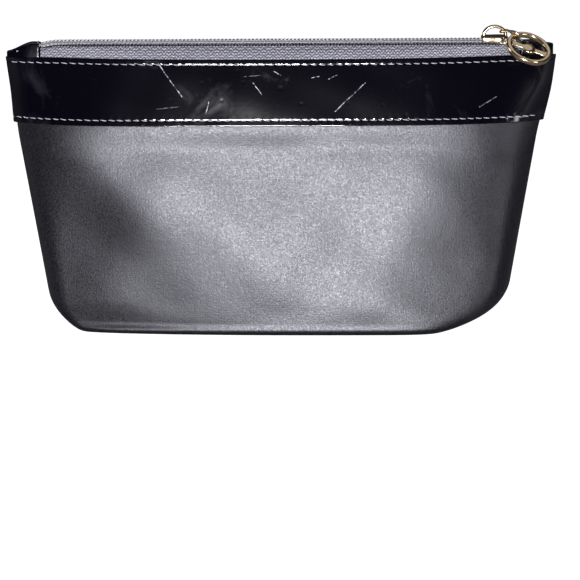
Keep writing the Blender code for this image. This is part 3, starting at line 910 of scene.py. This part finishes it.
# ---------------------------------------------------------------- end tabs
def make_tab(hand, label, patent, thread):
    """A patent tab folded over the zip's end and closed at its outer end, with a row of stitches."""
    low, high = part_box(label + "_end_tab")
    low[2] = BAND_TOP + 0.1 * MM
    if hand > 0:
        low[0] -= 1.6 * MM
        high[0] = TAB_REACH[label]
    else:
        high[0] += 0.9 * MM
        low[0] = -TAB_REACH[label]
    thickness = 0.6 * MM
    half = high[1]
    top = high[2]
    radius = 1.1 * MM
    outline = [(-half, low[2]), (-half, top - radius)]
    for t in np.linspace(0, math.pi / 2, 7)[1:]:
        outline.append((-half + radius - radius * math.cos(t), top - radius + radius * math.sin(t)))
    outline = np.array(outline + [(-y, z) for y, z in reversed(outline)])
    outline[:, 0] *= 1 - 0.2 * (outline[:, 1] - low[2]) / (top - low[2])
    along = np.gradient(outline, axis=0)
    along /= np.linalg.norm(along, axis=1)[:, None]
    inner = outline + np.stack([along[:, 1], -along[:, 0]], axis=1) * thickness
    fall = TAB_FALL[label]
    rings = []
    for t in np.linspace(0, 1, 25):
        x = low[0] + (high[0] - low[0]) * t
        edge = min(t, 1 - t) * (high[0] - low[0])
        outward = t if hand > 0 else 1 - t
        shrink = 0.22 * MM * math.exp(-edge / (0.35 * MM))
        puff = 0.18 * MM * math.sin(t * math.pi)
        filled = inner.copy()
        filled[:, 0] *= 1 - 0.97 * ease(outward, 0.72, 0.9)
        ring = np.concatenate([outline, filled[::-1]])
        height = (ring[:, 1] - low[2]) / (top - low[2])
        ring[:, 1] += height * (puff - shrink - 0.18 * MM - fall * ease(outward, 0.2, 1.0))
        ring[:, 0] *= (1 - shrink / half) * (1 - 0.45 * ease(outward, 0.45, 1.0))
        rings.append(np.stack([np.full(len(ring), x), ring[:, 0], ring[:, 1]], axis=1))
    vertices, faces = loops_mesh(np.array(rings))
    tab = tidy(new_piece(label + "_tab", vertices, faces, patent))
    fix(tab, "root", label + "_end_tab")

    x = (low[0] if hand > 0 else high[0]) + hand * 1.0 * MM
    stitches = []
    for side in (FRONT, BACK):
        for i in range(2):
            height = low[2] + 0.35 * MM + i * 1.9 * MM
            start = np.array([x - 0.1 * MM, side * (half + 0.05 * MM), height])
            finish = start + np.array([0.2 * MM, 0, 1.6 * MM])
            stitches.append(stitch_shape(start, finish, np.array([0, side, 0])))
    for i in range(3):
        start = np.array([x, -half + 1.1 * MM + i * 1.7 * MM, top - 0.02 * MM])
        stitches.append(stitch_shape(start, start + np.array([0, 1.4 * MM, 0]), np.array([0, 0, 1])))
    sewn = tidy(new_piece(label + "_tab_stitches", *many(stitches), thread), FINE_MERGE)
    fix(sewn, "root", label + "_tab_stitching")


# ---------------------------------------------------------------- metal
def cast(piece, voxel, smoothing):
    """Melt a piece's overlapping solids into one casting with softened edges."""
    remesh = piece.modifiers.new("melt", "REMESH")
    remesh.mode = "VOXEL"
    remesh.voxel_size = voxel
    remesh.use_smooth_shade = True
    soften = piece.modifiers.new("soften", "SMOOTH")
    soften.factor = 0.5
    soften.iterations = smoothing
    depsgraph = bpy.context.evaluated_depsgraph_get()
    melted = bpy.data.meshes.new_from_object(piece.evaluated_get(depsgraph))
    piece.modifiers.clear()
    piece.data = melted
    melted.shade_smooth()
    return piece


def prism(outline, low, high, taper=0.0):
    """A flat outline raised between two heights, its top drawn in by taper."""
    outline = np.asarray(outline, float)
    centre = outline.mean(axis=0)
    drawn = centre + (outline - centre) * (1 - taper)
    count = len(outline)
    bottom = np.column_stack([outline, np.full(count, low)])
    top = np.column_stack([drawn, np.full(count, high)])
    faces = [tuple(reversed(range(count))), tuple(range(count, 2 * count))]
    for i in range(count):
        j = (i + 1) % count
        faces.append((i, j, j + count, i + count))
    return np.concatenate([bottom, top]), faces


def slider_half_outline(grow):
    """One side of the slider's plan: narrow at the rear, wide shoulders, pointed nose."""
    rear, nose = slider_low[0], slider_high[0]
    wide = slider_high[1]
    control = np.array(
        [
            (rear, wide * 0.60),
            (rear + 0.5 * MM, wide * 0.80),
            (rear + 3.0 * MM, wide * 0.85),
            (nose - 4.6 * MM, wide * 0.97),
            (nose - 2.4 * MM, wide * 0.95),
            (nose - 0.7 * MM, wide * 0.66),
            (nose, wide * 0.30),
        ]
    )
    line = smooth_line(control, 30)
    line[:, 1] += grow
    return line


def slider_outline(grow=0.0):
    """The slider's whole plan."""
    half = slider_half_outline(grow)
    mirror = half[::-1] * np.array([1, -1])
    return np.concatenate([half, mirror])


def make_slider(gold):
    """Slider body: two plates, diamond post, flanges and the lugs that hold the bail."""
    plate = 0.8 * MM
    top_z = slider_high[2] - plate
    base_z = slider_low[2]
    shapes = [
        prism(slider_outline(), top_z, slider_high[2], 0.05),
        prism(slider_outline(-1.5 * MM), base_z, base_z + plate, 0.03),
    ]
    post_x = slider_high[0] - 2.9 * MM
    diamond = [(-2.0, 0.0), (0.0, -0.5), (2.4, -0.6), (2.4, 0.6), (0.0, 0.5)]
    post = [(post_x + x * MM, y * MM) for x, y in diamond]
    shapes.append(prism(post, base_z + plate / 2, top_z + plate / 2))
    half = slider_half_outline(0.0)[2:22]
    for side in (FRONT, BACK):
        strip = np.concatenate([half, (half - np.array([0, 0.7 * MM]))[::-1]])
        strip[:, 1] *= side
        if side > 0:
            strip = strip[::-1]
        shapes.append(prism(strip, top_z - 1.1 * MM, top_z + plate / 2))
    for foot in (-1, 1):
        x = SLIDER_X + foot * (bail_high[0] - bail_low[0] - 1.1 * MM) / 2
        turns = np.linspace(0, 2 * math.pi, 17)[:-1]
        lug = [(x + 0.95 * MM * math.cos(t), 1.0 * MM * math.sin(t)) for t in turns]
        shapes.append(prism(lug, slider_high[2] - 0.4 * MM, slider_high[2] + 0.06 * MM, 0.12))
    body = tidy(new_piece("slider_casting", *many(shapes), gold), FINE_MERGE)
    cast(body, 0.13 * MM, 5)
    fix(body, "slider", "slider_body")


def bail_point(turn):
    """A point of the bail's arch."""
    half_span = (bail_high[0] - bail_low[0]) / 2 - 0.55 * MM
    foot = bail_low[2] + 0.05 * MM
    rise = bail_high[2] - 0.55 * MM - foot
    return np.array([SLIDER_X - half_span * math.cos(turn), 0.0, foot + rise * math.sin(turn)])


def make_bail(gold):
    """The arched bail: a flattened bar that widens into its two feet."""
    turns = np.linspace(0, math.pi, 41)
    path = np.array([bail_point(t) for t in turns])
    foot = np.abs(np.cos(turns)) ** 6
    centre = np.array([SLIDER_X, 0, bail_low[2]])
    half_wide = (1.45 + 0.1 * foot) * MM
    half_thick = (0.64 + 0.08 * foot) * MM
    rings = tube_rings(path, half_wide, half_thick, 20, path - centre, squareness=2.6)
    bail = tidy(new_piece("arched_bail", *loops_mesh(rings), gold), FINE_MERGE)
    fix(bail, "slider", "slider_bail")


def ring_frame():
    """The ring's centre, its direction down to the right, and its direction up to the back."""
    hinge = joint("ring_hinge")
    contact = Vector(hinge["pos_m"])
    major = RING_NORMAL.cross(Vector((0, -0.985, 0.174))).normalized()
    minor = RING_NORMAL.cross(major)
    turn = RING_CONTACT_ANGLE
    return contact - RING_RADIUS * (math.cos(turn) * major + math.sin(turn) * minor), major, minor


def joint(name):
    """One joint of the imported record."""
    return next(j for j in frame["record"]["behaviour"]["joints"] if j["name"] == name)


def make_ring(gold):
    """The ring pull with its plain bar and round boss."""
    centre, major, minor = ring_frame()
    turns = np.linspace(0, 2 * math.pi, 121)[:-1]
    path = np.array([RING_RADIUS * np.array([math.cos(t), math.sin(t), 0]) for t in turns])
    rim = loops_mesh(tube_rings(path, 1.05 * MM, 1.2 * MM, 24, closed=True, squareness=2.8), ends=False)
    reach = np.linspace(-RING_RADIUS, RING_RADIUS, 41)
    waist = (1.35 + 0.75 * np.exp(-((np.abs(reach) - RING_RADIUS) / (1.6 * MM)) ** 2)) * MM
    bar_path = np.stack([reach, 0 * reach, 0 * reach], axis=1)
    bar = loops_mesh(tube_rings(bar_path, waist, 0.6 * MM, 16, squareness=3.0))
    levels = np.linspace(0, math.pi, 17)
    round_turns = np.linspace(0, 2 * math.pi, 49)[:-1]
    boss_rings = []
    for level in levels:
        radius = 2.8 * MM * max(0.02, math.sin(level)) ** 0.7
        height = 1.0 * MM * math.cos(level)
        boss_rings.append([(radius * math.cos(t), radius * math.sin(t), height) for t in round_turns])
    boss = loops_mesh(np.array(boss_rings))
    ring = tidy(new_piece("ring_pull", *many([rim, bar, boss]), gold), FINE_MERGE)
    cast(ring, 0.16 * MM, 4)
    place = Matrix((major, minor, RING_NORMAL)).transposed().to_4x4()
    place.translation = centre
    ring.data.transform(place)
    fix(ring, "ring", "pull_ring")


def make_link(gold):
    """The twisted link between bail and ring."""
    pivot = Vector(joint("link_hinge")["pos_m"])
    contact = Vector(joint("ring_hinge")["pos_m"])
    on_bail = math.radians(155)
    along = (contact - pivot).normalized()
    wire = Vector(bail_point(on_bail + 0.05)) - Vector(bail_point(on_bail - 0.05))
    level = along.cross(wire).normalized()
    upright = along.cross(level)
    near = pivot - along * (0.55 * MM + 0.5 * MM + GAP)
    length = (contact - near).length + 1.1 * MM + 0.5 * MM + 0.1 * MM
    outline = []
    for t in np.linspace(0, math.pi, 25):
        outline.append((LINK_HALF_WIDTH * (1 - math.sin(t)), math.cos(t)))
    for t in np.linspace(0, 1, 12)[1:-1]:
        outline.append((LINK_HALF_WIDTH + (length - 2 * LINK_HALF_WIDTH) * t, -1.0))
    for t in np.linspace(0, math.pi, 25):
        outline.append((length - LINK_HALF_WIDTH * (1 - math.sin(t)), -math.cos(t)))
    for t in np.linspace(0, 1, 12)[1:-1]:
        outline.append((length - LINK_HALF_WIDTH - (length - 2 * LINK_HALF_WIDTH) * t, 1.0))
    path = []
    for distance, reach in outline:
        turn = math.radians(-15 - 75 * distance / length)
        sideways = level * math.cos(turn) + upright * math.sin(turn)
        path.append(near + along * distance + sideways * reach * LINK_HALF_WIDTH)
    rings = tube_rings(np.array(path), LINK_WIRE, LINK_WIRE, 16, upright, closed=True)
    link = tidy(new_piece("twisted_link", *loops_mesh(rings, ends=False), gold), FINE_MERGE)
    fix(link, "link", "pull_link")


# ---------------------------------------------------------------- studio
def make_floor():
    """A wide white floor just under the bag."""
    half = 15.0
    corners = [(-half, -half, 0), (half, -half, 0), (half, half, 0), (-half, half, 0)]
    floor = new_piece("studio_floor", corners, [(0, 1, 2, 3)], floor_material())
    floor.location.z = -0.05 * MM


def add_soft_light(name, place, target, size, power):
    """A round soft light that shines from a place towards a target."""
    light = bpy.data.lights.new(name, "AREA")
    light.shape = "DISK"
    light.size = size
    light.energy = power
    light.color = (0.97, 0.97, 1.0)
    holder = bpy.data.objects.new(name, light)
    holder.location = place
    holder.rotation_euler = (Vector(target) - holder.location).to_track_quat("-Z", "Y").to_euler()
    bpy.context.collection.objects.link(holder)
    return holder


def make_lights():
    """A key beside the camera, one for the back's cloth, soft ones at the sides and overhead."""
    middle = (0.0, 0.0, 0.06)
    add_soft_light("key_light", (-0.03, -1.33, 0.175), middle, 0.12, 25)
    add_soft_light("right_light", (1.00, -0.90, 0.25), middle, 0.35, 3.0)
    add_soft_light("left_light", (-1.25, 0.20, 0.30), middle, 0.50, 2.5)
    back_light = add_soft_light("back_light", (0.03, 1.33, 0.15), middle, 0.15, 20)
    back_cloth = bpy.data.collections.new("lit_from_behind")
    for piece in bpy.data.objects:
        if piece.name.startswith(("back_satin", "back_patent", "back_upper", "back_lower")):
            back_cloth.objects.link(piece)
    back_light.light_linking.receiver_collection = back_cloth
    overhead = bpy.data.lights.new("overhead", "SUN")
    overhead.energy = 0.45
    overhead.angle = math.radians(70)
    overhead_object = bpy.data.objects.new("overhead", overhead)
    overhead_object.rotation_euler = (math.radians(-8), 0, 0)
    bpy.context.collection.objects.link(overhead_object)
    world = bpy.data.worlds.new("studio")
    world.use_nodes = True
    tree = world.node_tree
    dim = tree.nodes["Background"]
    dim.inputs["Color"].default_value = (0.8, 0.8, 1.0, 1)
    dim.inputs["Strength"].default_value = 0.03
    pale = tree.nodes.new("ShaderNodeBackground")
    pale.inputs["Color"].default_value = (0.95, 0.95, 0.95, 1)
    seen = tree.nodes.new("ShaderNodeLightPath")
    choose = tree.nodes.new("ShaderNodeMixShader")
    tree.links.new(seen.outputs["Is Camera Ray"], choose.inputs[0])
    tree.links.new(dim.outputs[0], choose.inputs[1])
    tree.links.new(pale.outputs[0], choose.inputs[2])
    tree.links.new(choose.outputs[0], tree.nodes["World Output"].inputs["Surface"])
    bpy.context.scene.world = world
    bpy.context.scene.view_settings.view_transform = "Standard"


def make_camera():
    """A long lens from the front, a little above; the bag stands in the upper half of the view."""
    aim = Vector((3.3 * MM, 0, 14 * MM))
    elevation = math.radians(13)
    distance = 1.3
    view_width = 240.4 * MM
    camera = bpy.data.cameras.new("camera")
    camera.sensor_width = 36
    camera.lens = camera.sensor_width * distance / view_width
    camera.clip_end = 60
    camera_object = bpy.data.objects.new("camera", camera)
    camera_object.location = aim + distance * Vector((0, -math.cos(elevation), math.sin(elevation)))
    roll = Matrix.Rotation(math.radians(-0.25), 4, "Z")
    turned = (aim - camera_object.location).to_track_quat("-Z", "Y").to_matrix().to_4x4() @ roll
    camera_object.rotation_euler = turned.to_euler()
    bpy.context.collection.objects.link(camera_object)
    bpy.context.scene.camera = camera_object


# ---------------------------------------------------------------- everything
make_camera()
satin = satin_material()
patent = patent_material()
thread = thread_material()
tape_cloth = tape_material()
nylon = coil_material()
lining = lining_material()
fleece = fleece_material()
gold = gold_material()
for side, label in ((FRONT, "front"), (BACK, "back")):
    make_body_cloth(side, label, satin, lining, fleece)
    make_bands(side, label, patent)
    make_facing(side, label, lining)
    make_band_stitches(side, label, thread)
    make_tape(side, label, tape_cloth)
    make_coil(side, label, nylon, thread)
for hand, label in ((-1, "left"), (1, "right")):
    make_tab(hand, label, patent, thread)
make_slider(gold)
make_bail(gold)
make_link(gold)
make_ring(gold)
make_floor()
make_lights()
